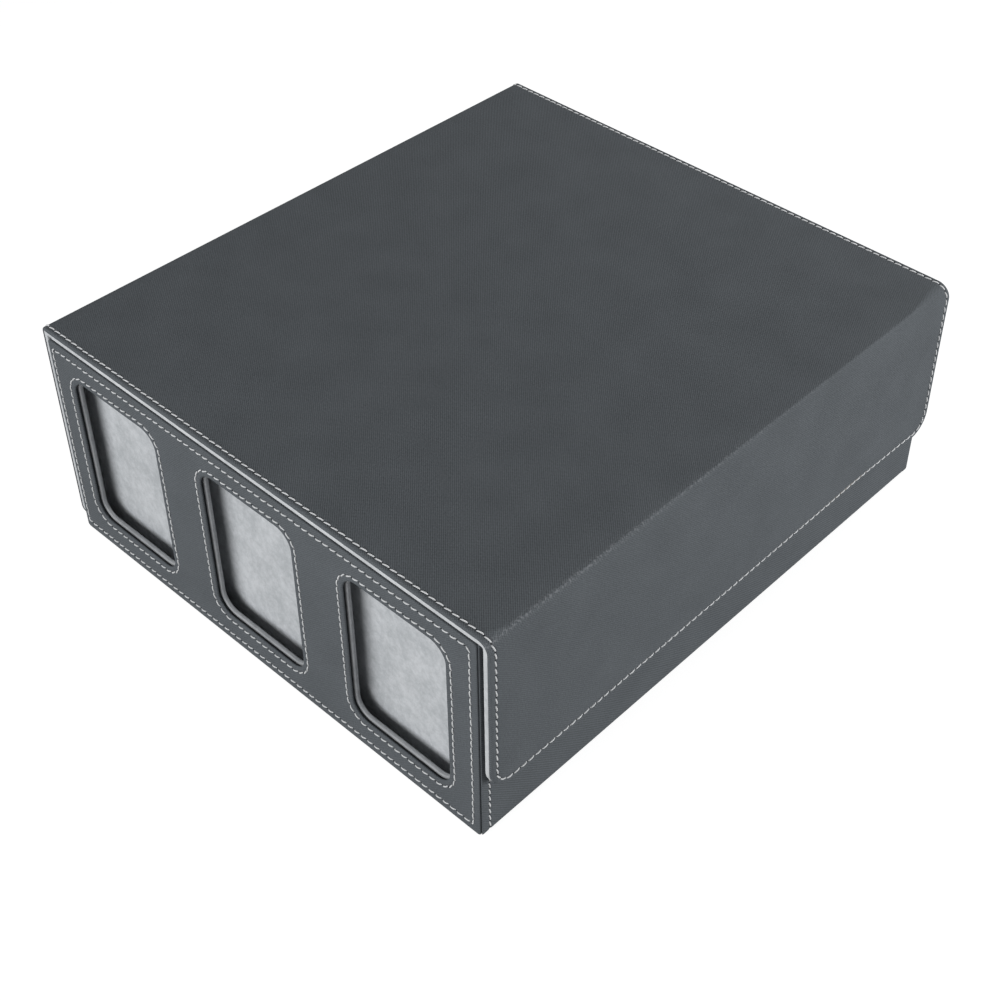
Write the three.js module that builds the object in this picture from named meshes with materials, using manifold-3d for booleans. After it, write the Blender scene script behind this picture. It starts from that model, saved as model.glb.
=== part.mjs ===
// Card storage box for three rows of cards in rigid sleeves. The body is greyboard covered in dark
// leather cloth and lined with light suede. A one-piece cover is glued to the back wall, folds over
// the top as the lid and folds again into a flap that a row of magnets holds shut. The window end has
// three openings with a display slot behind each.
// Millimetres, +Z up. X runs across the rows from the back cover to the flap, Y along the rows away
// from the windows. The origin is at the bottom centre of the closed box.

import * as THREE from 'three';
import * as BufferGeometryUtils from 'three/addons/utils/BufferGeometryUtils.js';
import Module from 'manifold-3d';

const wasm = await Module();
wasm.setup();

// Overall sizes
const TOTAL_WIDTH = 259.6;
const TOTAL_LENGTH = 290.8;
const TOTAL_HEIGHT = 112;
const BACK = -TOTAL_WIDTH / 2;
const FLAP_FACE = TOTAL_WIDTH / 2;
const WINDOW_END = -TOTAL_LENGTH / 2;
const FAR_END = TOTAL_LENGTH / 2;

// Sheet and board thicknesses
const LEATHER = 0.8;
const LINING = 0.8;
const WALL_BOARD = 2.2;
const BOTTOM_BOARD = 2.6;

// Cover: lid, flap, back panel and the two folds between them
const COVER_FAR_EDGE = FAR_END - 3.9;
const COVER_BOARD = 1.3;
const COVER_LINING = 1.6;
const COVER_LIP = LEATHER + COVER_BOARD;
const COVER_THICKNESS = COVER_LIP + COVER_LINING;
const EDGE_RADIUS = 0.8;
const BACK_LINING = 1.4;
const BACK_FOLD_RADIUS = LEATHER + BACK_LINING;
const FRONT_FOLD_RADIUS = 7.5;
const FOLD_GAP = 0.4;
const FLAP_GAP_AT_FOLD = 0.8;
const FLAP_BOTTOM = 31;
const FLAP_TOP = TOTAL_HEIGHT - FRONT_FOLD_RADIUS - FLAP_GAP_AT_FOLD;
const COVER_CORNER_RADIUS = 11.3;
const LID_UNDERSIDE = TOTAL_HEIGHT - COVER_THICKNESS;

// Body: the outer face of the wall behind the flap, the wall tops and the floor
const FLAP_STAND_OFF = 5.8;
const FLAP_SIDE = FLAP_FACE - FLAP_STAND_OFF;
const WALL_TOP = 107.9;
const BOARD_TOP = WALL_TOP - LEATHER;
const PANEL_TOP = 106.9;
const BODY_BACK = BACK + BACK_FOLD_RADIUS;
const BACK_TURN_IN = BODY_BACK - LEATHER;
const TURN_UP = 12;
const CORNER_RADIUS = 2.2;
const BOARD_BASE = LEATHER;
const FLOOR_UNDER_LINING = BOARD_BASE + BOTTOM_BOARD;
const FLOOR = FLOOR_UNDER_LINING + LINING;

// Window end: stitched outer panel, suede covered wall, display slot and the walls behind the cards
const PANEL_THICKNESS = 2.2;
const WINDOW_WALL = 1.8;
const SLOT_DEPTH = 6.3;
const DISPLAY_WALL = 2.8;
const DISPLAY_WALL_TOP = 104;
const WINDOW_WIDTH = 54.2;
const WINDOW_BOTTOM = 15.4;
const WINDOW_LIP = 0.5;
const WINDOW_TOP = 92.8;
const WINDOW_RADIUS = 8;
const WINDOW_PITCH = 83.4;
const WINDOW_MIDDLE = -3.5;
const PANEL_EASING = 0.6;
const SEAM = 0.3;
const PANEL_FACE_BACK = WINDOW_END + PANEL_THICKNESS;
const SLOT_FRONT = PANEL_FACE_BACK + WINDOW_WALL;
const SLOT_BACK = SLOT_FRONT + SLOT_DEPTH;

// Rows, the partitions between them and the sliding dividers
const ROWS = 3;
const PARTITION = 3;
const PARTITION_TOP = 92;
const INSIDE_BACK = BODY_BACK + WALL_BOARD + LINING;
const INSIDE_FLAP_SIDE = FLAP_SIDE - LEATHER - WALL_BOARD - LINING;
const INSIDE_END = FAR_END - LEATHER - WALL_BOARD - LINING;
const ROW_WIDTH = (INSIDE_FLAP_SIDE - INSIDE_BACK - (ROWS - 1) * PARTITION) / ROWS;
const ROW_PITCH = ROW_WIDTH + PARTITION;
const DIVIDER = 2.8;
const DIVIDER_SIDE_GAP = 0.6;
const DIVIDER_FLOOR_GAP = 0.3;
const DIVIDER_TOP = 100;
const DIVIDER_RADIUS = 8;
const DIVIDER_PLACES = [-32, 24, 66];

// Closure: magnets in the flap and steel discs in the wall behind them
const MAGNET_RADIUS = 9;
const MAGNET_THICKNESS = 1.6;
const MAGNET_HEIGHT = 48;
const MAGNET_SPACING = 95;
const MAGNET_UNDER_LEATHER = 0.2;
const PLATE_THICKNESS = 1.1;
const PLATE_UNDER_LEATHER = 0.2;
const POCKET_CLEARANCE = 0.3;
const ARC_STEPS = 6;

const darkLeather = () => new THREE.MeshStandardMaterial({ color: 0x54585b, roughness: 0.72, metalness: 0 });
const lightSuede = () => new THREE.MeshStandardMaterial({ color: 0xb9bdc0, roughness: 0.95, metalness: 0 });
const greyboard = () => new THREE.MeshStandardMaterial({ color: 0x77736c, roughness: 0.9, metalness: 0 });
const steel = () => new THREE.MeshStandardMaterial({ color: 0xb4b6b8, roughness: 0.35, metalness: 1 });

const ALONG_X = new THREE.Matrix4().makeBasis(
  new THREE.Vector3(0, 1, 0), new THREE.Vector3(0, 0, 1), new THREE.Vector3(1, 0, 0));
const ALONG_Y = new THREE.Matrix4().makeBasis(
  new THREE.Vector3(1, 0, 0), new THREE.Vector3(0, 0, 1), new THREE.Vector3(0, -1, 0));

const cardBox = new THREE.Group();

function place(name, geometry, material) {
  const mesh = new THREE.Mesh(geometry, material);
  mesh.name = name;
  cardBox.add(mesh);
  return mesh;
}

function block(x, y, z) {
  const geometry = new THREE.BoxGeometry(x[1] - x[0], y[1] - y[0], z[1] - z[0]);
  geometry.translate((x[0] + x[1]) / 2, (y[0] + y[1]) / 2, (z[0] + z[1]) / 2);
  return geometry;
}

// A flat sheet or board between two values on each axis
const slab = (name, x, y, z, material) => place(name, block(x, y, z), material);

// Shapes drawn in Y and Z and run along X
function runAlongX(shape, x) {
  const geometry = new THREE.ExtrudeGeometry(shape, {
    depth: x[1] - x[0], bevelEnabled: false, curveSegments: ARC_STEPS });
  geometry.applyMatrix4(ALONG_X);
  geometry.translate(x[0], 0, 0);
  return geometry;
}

// Shapes drawn in X and Z and run along Y
function runAlongY(shape, y, easing = 0) {
  const geometry = new THREE.ExtrudeGeometry(shape, {
    depth: y[1] - y[0] - 2 * easing,
    bevelEnabled: easing > 0,
    bevelThickness: easing,
    bevelSize: easing,
    bevelOffset: -easing,
    bevelSegments: 2,
    curveSegments: ARC_STEPS });
  geometry.applyMatrix4(ALONG_Y);
  geometry.translate(0, y[1] - easing, 0);
  return geometry;
}

function toSolid(geometry) {
  const bare = geometry.clone();
  bare.deleteAttribute('normal');
  bare.deleteAttribute('uv');
  const merged = BufferGeometryUtils.mergeVertices(bare, 1e-4);
  return new wasm.Manifold(new wasm.Mesh({
    numProp: 3,
    vertProperties: new Float32Array(merged.attributes.position.array),
    triVerts: new Uint32Array(merged.index.array) }));
}

function toGeometry(solid) {
  const mesh = solid.getMesh();
  const geometry = new THREE.BufferGeometry();
  geometry.setAttribute('position', new THREE.BufferAttribute(new Float32Array(mesh.vertProperties), 3));
  geometry.setIndex(new THREE.BufferAttribute(new Uint32Array(mesh.triVerts), 1));
  geometry.computeVertexNormals();
  return geometry;
}

function cut(geometry, tools) {
  return toGeometry(tools.reduce((solid, tool) => solid.subtract(toSolid(tool)), toSolid(geometry)));
}

function join(first, second) {
  return toGeometry(toSolid(first).add(toSolid(second)));
}

// Shapes drawn in X and Y and run up Z
function standing(shape, z) {
  const geometry = new THREE.ExtrudeGeometry(shape, {
    depth: z[1] - z[0], bevelEnabled: false, curveSegments: ARC_STEPS });
  geometry.translate(0, 0, z[0]);
  return geometry;
}

// A disc lying in a wall, its axis along X
function disc(x, y, z, radius) {
  const geometry = new THREE.CylinderGeometry(radius, radius, x[1] - x[0], 32);
  geometry.rotateZ(Math.PI / 2);
  geometry.translate((x[0] + x[1]) / 2, y, z);
  return geometry;
}

function roundedRectangle(path, x0, z0, x1, z1, radius) {
  path.absarc(x1 - radius, z0 + radius, radius, -Math.PI / 2, 0, false);
  path.absarc(x1 - radius, z1 - radius, radius, 0, Math.PI / 2, false);
  path.absarc(x0 + radius, z1 - radius, radius, Math.PI / 2, Math.PI, false);
  path.absarc(x0 + radius, z0 + radius, radius, Math.PI, 1.5 * Math.PI, false);
  return path;
}

function rectangle(x0, z0, x1, z1) {
  return new THREE.Shape([
    new THREE.Vector2(x0, z0), new THREE.Vector2(x1, z0),
    new THREE.Vector2(x1, z1), new THREE.Vector2(x0, z1)]);
}

// The window openings. In the wall behind the stitched panel they are smaller, by a lip all round.
function withWindows(shape, lip) {
  for (let i = 0; i < ROWS; i += 1) {
    const middle = WINDOW_MIDDLE + (i - 1) * WINDOW_PITCH;
    const side = WINDOW_WIDTH / 2 - lip;
    shape.holes.push(roundedRectangle(
      new THREE.Path(), middle - side, WINDOW_BOTTOM + lip, middle + side, WINDOW_TOP - lip,
      WINDOW_RADIUS - lip));
  }
  return shape;
}

const rowStart = (row) => INSIDE_BACK + row * ROW_PITCH;
const magnetPlaces = [-1, 0, 1].map((i) => (WINDOW_END + COVER_FAR_EDGE) / 2 + i * MAGNET_SPACING);

// Bottom: leather cloth under a board, suede on top of it. The leather is turned up over the back wall,
// where the cover is glued over it.
function makeBottom() {
  const length = [PANEL_FACE_BACK, FAR_END - LEATHER];
  const turnedUp = [PANEL_FACE_BACK, COVER_FAR_EDGE];
  const sheet = join(
    block([BODY_BACK, FLAP_SIDE - LEATHER], length, [0, BOARD_BASE]),
    block([BACK_TURN_IN, FLAP_SIDE - LEATHER], turnedUp, [0, BOARD_BASE]));
  place('base_sheet', join(sheet, block([BACK_TURN_IN, BODY_BACK], turnedUp, [0, TURN_UP])), darkLeather());
  slab('bottom_board', [BODY_BACK, FLAP_SIDE - LEATHER], length,
    [BOARD_BASE, FLOOR_UNDER_LINING], greyboard());
  slab('floor_lining', [INSIDE_BACK, INSIDE_FLAP_SIDE], [SLOT_FRONT, INSIDE_END],
    [FLOOR_UNDER_LINING, FLOOR], lightSuede());
}

// Back wall, its suede turned over the top edge, with the fixed part of the cover glued outside it
function makeBack() {
  const inside = BODY_BACK + WALL_BOARD;
  slab('back_wall', [BODY_BACK, inside], [SLOT_FRONT, INSIDE_END + LINING],
    [FLOOR_UNDER_LINING, BOARD_TOP], greyboard());
  const lining = new THREE.Shape([
    new THREE.Vector2(inside, FLOOR), new THREE.Vector2(INSIDE_BACK, FLOOR),
    new THREE.Vector2(INSIDE_BACK, WALL_TOP), new THREE.Vector2(BODY_BACK, WALL_TOP),
    new THREE.Vector2(BODY_BACK, BOARD_TOP), new THREE.Vector2(inside, BOARD_TOP)]);
  place('back_wall_lining', runAlongY(lining, [SLOT_FRONT, INSIDE_END]), lightSuede());
  const coverTop = TOTAL_HEIGHT - BACK_FOLD_RADIUS - FOLD_GAP;
  place('back_cover', runAlongX(coverOutline(0, coverTop, 0), [BACK, BACK + LEATHER]), darkLeather());
  const coverLining = runAlongX(coverOutline(0, WALL_TOP, 0), [BACK + LEATHER, BODY_BACK]);
  const roomForTurnUp = block(
    [BACK_TURN_IN, BODY_BACK + 1], [PANEL_FACE_BACK, COVER_FAR_EDGE + 1], [-1, TURN_UP]);
  place('back_cover_lining', cut(coverLining, [roomForTurnUp]), lightSuede());
}

// Wall behind the flap: board with steel discs for the magnets, suede inside, and leather outside
// that turns over the top edge
function makeFlapSide() {
  const outside = FLAP_SIDE - LEATHER;
  const board = [outside - WALL_BOARD, outside];
  const plate = [outside - PLATE_UNDER_LEATHER - PLATE_THICKNESS, outside - PLATE_UNDER_LEATHER];
  const length = [SLOT_FRONT, INSIDE_END + LINING];
  const body = runAlongX(rectangle(length[0], FLOOR_UNDER_LINING, length[1], BOARD_TOP), board);
  const pockets = magnetPlaces.map((y) => disc(
    [plate[0] - POCKET_CLEARANCE, outside + 1], y, MAGNET_HEIGHT, MAGNET_RADIUS + POCKET_CLEARANCE));
  place('flap_side_wall', cut(body, pockets), greyboard());
  magnetPlaces.forEach((y, i) => place(
    `wall_plate_${i + 1}`, disc(plate, y, MAGNET_HEIGHT, MAGNET_RADIUS), steel()));
  slab('flap_side_lining', [INSIDE_FLAP_SIDE, board[0]], [SLOT_FRONT, INSIDE_END],
    [FLOOR, BOARD_TOP], lightSuede());
  const sheet = runAlongY(rectangle(outside, 0, FLAP_SIDE, WALL_TOP), [WINDOW_END + SEAM, INSIDE_END]);
  const rim = runAlongY(
    rectangle(INSIDE_FLAP_SIDE, BOARD_TOP, FLAP_SIDE, WALL_TOP), [PANEL_FACE_BACK, INSIDE_END]);
  place('flap_side_cover', join(sheet, rim), darkLeather());
}

// End wall away from the windows. Its leather turns both corners, to meet the leather of the flap side
// and the cover on the back, and turns over the top edge too.
function makeFarEnd() {
  slab('end_wall', [BODY_BACK, FLAP_SIDE - LEATHER], [FAR_END - LEATHER - WALL_BOARD, FAR_END - LEATHER],
    [FLOOR_UNDER_LINING, BOARD_TOP], greyboard());
  slab('end_wall_lining', [INSIDE_BACK, INSIDE_FLAP_SIDE], [INSIDE_END, INSIDE_END + LINING],
    [FLOOR, BOARD_TOP], lightSuede());
  const inner = new THREE.Vector2(FLAP_SIDE - LEATHER, FAR_END - LEATHER);
  const sheet = endOutline([
    new THREE.Vector2(BACK_TURN_IN, INSIDE_END), new THREE.Vector2(BODY_BACK, INSIDE_END),
    new THREE.Vector2(BODY_BACK, inner.y), inner, new THREE.Vector2(inner.x, INSIDE_END)]);
  const rim = endOutline([new THREE.Vector2(BACK_TURN_IN, INSIDE_END)]);
  place('end_wall_cover', join(standing(sheet, [0, WALL_TOP]), standing(rim, [BOARD_TOP, WALL_TOP])),
    darkLeather());
}

// Plan of the end wall's leather: the given points inside, then out round both vertical corners
function endOutline(insidePoints) {
  const y = FAR_END - CORNER_RADIUS;
  const shape = new THREE.Shape(insidePoints);
  shape.lineTo(FLAP_SIDE, INSIDE_END);
  shape.absarc(FLAP_SIDE - CORNER_RADIUS, y, CORNER_RADIUS, 0, Math.PI / 2, false);
  shape.absarc(BACK_TURN_IN + CORNER_RADIUS, y, CORNER_RADIUS, Math.PI / 2, Math.PI, false);
  return shape;
}

// Window end: stitched leather panel outside, suede covered wall inside it
function makeWindowEnd() {
  const panel = withWindows(rectangle(BODY_BACK, 0, FLAP_SIDE - LEATHER, PANEL_TOP), 0);
  place('window_panel', runAlongY(panel, [WINDOW_END, PANEL_FACE_BACK], PANEL_EASING), darkLeather());
  const wall = withWindows(
    rectangle(BODY_BACK, FLOOR_UNDER_LINING, FLAP_SIDE - LEATHER, BOARD_TOP), WINDOW_LIP);
  place('window_wall', runAlongY(wall, [PANEL_FACE_BACK, SLOT_FRONT]), lightSuede());
}

// Partitions between the rows, and in each row the suede wall behind its display slot
function makeRows() {
  for (let row = 0; row < ROWS; row += 1) {
    const start = rowStart(row);
    slab(`display_wall_${row + 1}`, [start, start + ROW_WIDTH], [SLOT_BACK, SLOT_BACK + DISPLAY_WALL],
      [FLOOR, DISPLAY_WALL_TOP], lightSuede());
    if (row < ROWS - 1) {
      slab(`partition_${row + 1}`, [start + ROW_WIDTH, start + ROW_PITCH], [SLOT_FRONT, INSIDE_END],
        [FLOOR, PARTITION_TOP], lightSuede());
    }
  }
}

// One loose divider in each row slides along it to hold the cards upright
function makeDividers() {
  for (let row = 0; row < ROWS; row += 1) {
    const x0 = rowStart(row) + DIVIDER_SIDE_GAP;
    const x1 = rowStart(row) + ROW_WIDTH - DIVIDER_SIDE_GAP;
    const z0 = FLOOR + DIVIDER_FLOOR_GAP;
    const shape = new THREE.Shape();
    shape.moveTo(x0, z0);
    shape.lineTo(x1, z0);
    shape.absarc(x1 - DIVIDER_RADIUS, DIVIDER_TOP - DIVIDER_RADIUS, DIVIDER_RADIUS, 0, Math.PI / 2, false);
    shape.absarc(
      x0 + DIVIDER_RADIUS, DIVIDER_TOP - DIVIDER_RADIUS, DIVIDER_RADIUS, Math.PI / 2, Math.PI, false);
    const middle = DIVIDER_PLACES[row];
    place(`divider_${row + 1}`,
      runAlongY(shape, [middle - DIVIDER / 2, middle + DIVIDER / 2]), lightSuede());
  }
}

// The narrow fold at the back edge, leather only, centred on the inner corner of the cover
function makeBackFold() {
  const corner = new THREE.Vector2(BODY_BACK, TOTAL_HEIGHT - BACK_FOLD_RADIUS);
  const shape = new THREE.Shape();
  shape.absarc(corner.x, corner.y, BACK_FOLD_RADIUS, Math.PI / 2, Math.PI, false);
  shape.absarc(corner.x, corner.y, BACK_FOLD_RADIUS - LEATHER, Math.PI, Math.PI / 2, true);
  place('back_fold', runAlongY(shape, [WINDOW_END, COVER_FAR_EDGE]), darkLeather());
}

// Lid: leather turned down over the long edges of a board, suede underneath out to the edge
function makeLid() {
  const run = [BODY_BACK + FOLD_GAP, FLAP_FACE - FRONT_FOLD_RADIUS];
  const top = TOTAL_HEIGHT;
  const lip = TOTAL_HEIGHT - COVER_LIP;
  const shape = new THREE.Shape();
  shape.moveTo(WINDOW_END, lip);
  shape.lineTo(WINDOW_END + LEATHER, lip);
  shape.lineTo(WINDOW_END + LEATHER, top - LEATHER);
  shape.lineTo(COVER_FAR_EDGE - LEATHER, top - LEATHER);
  shape.lineTo(COVER_FAR_EDGE - LEATHER, lip);
  shape.lineTo(COVER_FAR_EDGE, lip);
  shape.absarc(COVER_FAR_EDGE - EDGE_RADIUS, top - EDGE_RADIUS, EDGE_RADIUS, 0, Math.PI / 2, false);
  shape.absarc(WINDOW_END + EDGE_RADIUS, top - EDGE_RADIUS, EDGE_RADIUS, Math.PI / 2, Math.PI, false);
  place('lid_leather', runAlongX(shape, run), darkLeather());
  slab('lid_board', run, [WINDOW_END + LEATHER, COVER_FAR_EDGE - LEATHER],
    [lip, top - LEATHER], greyboard());
  slab('lid_lining', run, [WINDOW_END, COVER_FAR_EDGE], [LID_UNDERSIDE, lip], lightSuede());
}

// The soft fold between lid and flap: leather outside, the lining drawn into a sharper corner inside
function makeFrontFold() {
  const centre = new THREE.Vector2(FLAP_FACE - FRONT_FOLD_RADIUS, TOTAL_HEIGHT - FRONT_FOLD_RADIUS);
  const inner = FRONT_FOLD_RADIUS - LEATHER;
  const length = [WINDOW_END, COVER_FAR_EDGE];
  const leather = new THREE.Shape();
  leather.absarc(centre.x, centre.y, FRONT_FOLD_RADIUS, 0, Math.PI / 2, false);
  leather.absarc(centre.x, centre.y, inner, Math.PI / 2, 0, true);
  place('front_fold', runAlongY(leather, length), darkLeather());
  const lining = new THREE.Shape();
  lining.absarc(centre.x, centre.y, inner, 0, Math.PI / 2, false);
  lining.lineTo(centre.x, LID_UNDERSIDE);
  lining.lineTo(FLAP_FACE - COVER_THICKNESS, LID_UNDERSIDE);
  lining.lineTo(FLAP_FACE - COVER_THICKNESS, centre.y);
  place('front_fold_lining', runAlongY(lining, length), lightSuede());
}

// Outline in Y and Z of a part of the cover whose two bottom corners are rounded, drawn in by inset
function coverOutline(bottom, top, inset) {
  const y0 = WINDOW_END + inset;
  const y1 = COVER_FAR_EDGE - inset;
  const radius = COVER_CORNER_RADIUS - inset;
  const centre = bottom + COVER_CORNER_RADIUS;
  const shape = new THREE.Shape();
  shape.moveTo(y1, top);
  shape.lineTo(y0, top);
  shape.absarc(y0 + radius, centre, radius, Math.PI, 1.5 * Math.PI, false);
  shape.absarc(y1 - radius, centre, radius, 1.5 * Math.PI, 2 * Math.PI, false);
  return shape;
}

// Flap: leather turned over the free edges of a board, suede inside, magnets between them
function makeFlap() {
  const leatherInside = FLAP_FACE - LEATHER;
  const lip = FLAP_FACE - COVER_LIP;
  const inside = FLAP_FACE - COVER_THICKNESS;
  const magnetFace = leatherInside - MAGNET_UNDER_LEATHER;
  const magnet = [magnetFace - MAGNET_THICKNESS, magnetFace];
  const pocketDepth = magnet[0] - POCKET_CLEARANCE;
  const hole = (y) => disc(
    [pocketDepth, FLAP_FACE - LEATHER + 1], y, MAGNET_HEIGHT, MAGNET_RADIUS + POCKET_CLEARANCE);
  const whole = coverOutline(FLAP_BOTTOM, FLAP_TOP, 0);
  const leather = runAlongX(whole, [lip, FLAP_FACE]);
  const hollow = runAlongX(coverOutline(FLAP_BOTTOM, FLAP_TOP + 1, LEATHER), [lip - 1, leatherInside]);
  place('flap_leather', cut(leather, [hollow]), darkLeather());
  const board = runAlongX(coverOutline(FLAP_BOTTOM, FLAP_TOP, LEATHER), [lip, leatherInside]);
  place('flap_board', cut(board, magnetPlaces.map(hole)), greyboard());
  const lining = runAlongX(whole, [inside, lip]);
  place('flap_lining', cut(lining, magnetPlaces.map(hole)), lightSuede());
  magnetPlaces.forEach((y, i) => place(
    `flap_magnet_${i + 1}`, disc(magnet, y, MAGNET_HEIGHT, MAGNET_RADIUS), steel()));
}

makeBottom();
makeBack();
makeFlapSide();
makeFarEnd();
makeWindowEnd();
makeRows();
makeDividers();
makeBackFold();
makeLid();
makeFrontFold();
makeFlap();

export default cardBox;
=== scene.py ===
# Card storage box: greyboard covered in dark leather cloth and lined with light suede, with a sewn
# one-piece cover that makes the lid and the flap, and three display windows at one end.
# Lengths are in millimetres until a mesh is made, which turns them into metres.

from math import cos, pi, radians, sin, sqrt

import bmesh
import bpy
from mathutils import Matrix, Vector


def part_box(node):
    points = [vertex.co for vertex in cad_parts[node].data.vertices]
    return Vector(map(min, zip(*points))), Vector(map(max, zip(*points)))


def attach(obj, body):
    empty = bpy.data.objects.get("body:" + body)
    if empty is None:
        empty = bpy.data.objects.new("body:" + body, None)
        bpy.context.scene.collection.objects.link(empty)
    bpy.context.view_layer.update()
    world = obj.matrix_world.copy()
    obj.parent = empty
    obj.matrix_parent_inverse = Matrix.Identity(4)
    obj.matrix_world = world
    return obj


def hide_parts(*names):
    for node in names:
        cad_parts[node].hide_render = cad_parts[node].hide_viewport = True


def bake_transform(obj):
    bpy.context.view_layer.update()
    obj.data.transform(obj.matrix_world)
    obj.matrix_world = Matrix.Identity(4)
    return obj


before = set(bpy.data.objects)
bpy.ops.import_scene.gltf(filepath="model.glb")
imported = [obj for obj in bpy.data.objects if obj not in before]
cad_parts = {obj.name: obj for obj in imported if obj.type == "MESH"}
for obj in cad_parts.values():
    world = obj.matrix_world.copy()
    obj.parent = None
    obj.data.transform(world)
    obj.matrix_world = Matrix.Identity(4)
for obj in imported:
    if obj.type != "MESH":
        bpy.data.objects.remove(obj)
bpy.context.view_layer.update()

# Camera: a long lens, about 0.8 m from the middle of the box and above its near corner. The picture
# is cut from a larger one, so the lens axis isn't at its middle.
MM = 0.001
CAMERA_PLACE = Vector((402.5, -420.3, 537.2)) * MM
CAMERA_RIGHT = Vector((0.73464, 0.67837, 0.01098))
CAMERA_UP = Vector((-0.44240, 0.46669, 0.76582))


def add_object(name, data):
    """A new object in the scene."""
    added = bpy.data.objects.new(name, data)
    bpy.context.scene.collection.objects.link(added)
    return added


camera = add_object("camera", bpy.data.cameras.new("camera"))
camera.data.sensor_width = 36
camera.data.lens = 60.87
camera.data.shift_x = -0.04485
camera.data.shift_y = -0.08205
towards_camera = CAMERA_RIGHT.cross(CAMERA_UP).normalized()
camera_turn = Matrix((CAMERA_RIGHT, CAMERA_UP, towards_camera)).transposed().to_4x4()
camera.matrix_world = Matrix.Translation(CAMERA_PLACE) @ camera_turn
camera.data.clip_start = 0.05
camera.data.clip_end = 20
bpy.context.scene.camera = camera


# Bottom: a greyboard with rounded edges, for the leather to be drawn round, and the suede that lines
# the floor of the rows.
SUEDE_GREY = (0.368, 0.386, 0.403)
SUEDE_BRUSHED = (0.50, 0.518, 0.538)
GREYBOARD = (0.20, 0.185, 0.165)


def new_material(name):
    """An empty material, its node tree and its main shader."""
    material = bpy.data.materials.new(name)
    material.use_nodes = True
    tree = material.node_tree
    shader = tree.nodes["Principled BSDF"]
    return material, tree, shader


def add_node(tree, kind, links=(), **settings):
    """One node with its settings, and its inputs linked or given a value."""
    node = tree.nodes.new("ShaderNode" + kind)
    for key, value in settings.items():
        setattr(node, key, value)
    for socket, value in dict(links).items():
        if isinstance(value, bpy.types.NodeSocket):
            tree.links.new(value, node.inputs[socket])
        else:
            node.inputs[socket].default_value = value
    return node


def calculate(tree, operation, first, second=0.0, third=0.0):
    """The result of one Math node."""
    node = add_node(tree, "Math", {0: first, 1: second, 2: third}, operation=operation)
    return node.outputs[0]


def between_colours(tree, share, first, second):
    """A colour between two, by a share from 0 to 1. Each is in numbers or another node's result."""
    node = add_node(tree, "Mix", {0: share}, data_type="RGBA")
    for socket, colour in ((node.inputs[6], first), (node.inputs[7], second)):
        if isinstance(colour, bpy.types.NodeSocket):
            tree.links.new(colour, socket)
        else:
            socket.default_value = (*colour, 1)
    return node.outputs[2]


def noise_value(tree, place, scale, detail=2.0):
    """Noise from 0 to 1 at a place in the material."""
    return add_node(tree, "TexNoise", {"Vector": place, "Scale": scale, "Detail": detail}).outputs[0]


def emboss(tree, shader, height, strength, distance):
    """Makes a surface uneven by a height, up to a distance in metres."""
    bump = add_node(tree, "Bump", {"Height": height, "Strength": strength, "Distance": distance})
    tree.links.new(bump.outputs[0], shader.inputs["Normal"])


def suede_cloth(name, light, brushed):
    """Short-napped suede: brushed patches over a fine nap."""
    material, tree, shader = new_material(name)
    place = add_node(tree, "TexCoord").outputs["Object"]
    stretched = add_node(tree, "VectorMath", {0: place, 1: (1, 1, 0.8)}, operation="MULTIPLY").outputs[0]
    nap = noise_value(tree, place, 1300, 2)
    strokes = noise_value(tree, stretched, 380, 4)
    patches = noise_value(tree, stretched, 60, 4)
    mixed = calculate(tree, "MULTIPLY_ADD", patches, 1.8, -1.85)
    mixed = calculate(tree, "MULTIPLY_ADD", strokes, 1.8, mixed)
    mixed = calculate(tree, "MULTIPLY_ADD", nap, 1.1, mixed)
    tree.links.new(between_colours(tree, mixed, light, brushed), shader.inputs["Base Color"])
    shader.inputs["Roughness"].default_value = 0.95
    shader.inputs["Specular IOR Level"].default_value = 0.15
    shader.inputs["Sheen Weight"].default_value = 0.12
    shader.inputs["Sheen Roughness"].default_value = 0.5
    height = calculate(tree, "MULTIPLY_ADD", strokes, 0.6, nap)
    emboss(tree, shader, height, 0.5, 0.0003)
    return material


def grey_board(name):
    """Raw greyboard: pressed waste paper with darker and lighter fibres."""
    material, tree, shader = new_material(name)
    place = add_node(tree, "TexCoord").outputs["Object"]
    fibres = noise_value(tree, place, 900, 5)
    clouds = noise_value(tree, place, 60, 3)
    mixed = calculate(tree, "MULTIPLY_ADD", fibres, 0.7, calculate(tree, "MULTIPLY", clouds, 0.4))
    dark = tuple(0.72 * c for c in GREYBOARD)
    tree.links.new(between_colours(tree, mixed, dark, GREYBOARD), shader.inputs["Base Color"])
    shader.inputs["Roughness"].default_value = 0.9
    emboss(tree, shader, fibres, 0.4, 0.0002)
    return material


def finish_node(name, material, edge=0.0):
    """Gives one of the frame's own pieces its material, and rounds its edges by so many mm."""
    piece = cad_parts[name]
    piece.data.materials.clear()
    piece.data.materials.append(material)
    if edge:
        weld = piece.modifiers.new("weld", "WELD")
        weld.merge_threshold = 0.00001
        bevel = piece.modifiers.new("rounded edges", "BEVEL")
        bevel.width = edge * MM
        bevel.segments = 3
        bevel.limit_method = "ANGLE"
        bevel.angle_limit = radians(40)
        bevel.harden_normals = True
    return piece


suede = suede_cloth("suede lining", SUEDE_GREY, SUEDE_BRUSHED)
board = grey_board("greyboard")
finish_node("bottom_board", board, 1.25)
finish_node("floor_lining", suede, 0.2)


# Body walls: greyboard on three sides, glued to the bottom. The suede inside the back wall is turned
# over its top edge; the other linings stop under the leather that is turned in from outside.
for name in ("back_wall", "flap_side_wall", "end_wall"):
    finish_node(name, board, 0.15)
for name in ("back_wall_lining", "flap_side_lining", "end_wall_lining"):
    finish_node(name, suede, 0.3)

# Steel discs let into the wall behind the flap, zinc plated, for its magnets to hold.
ZINC = (0.62, 0.62, 0.63)


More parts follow.
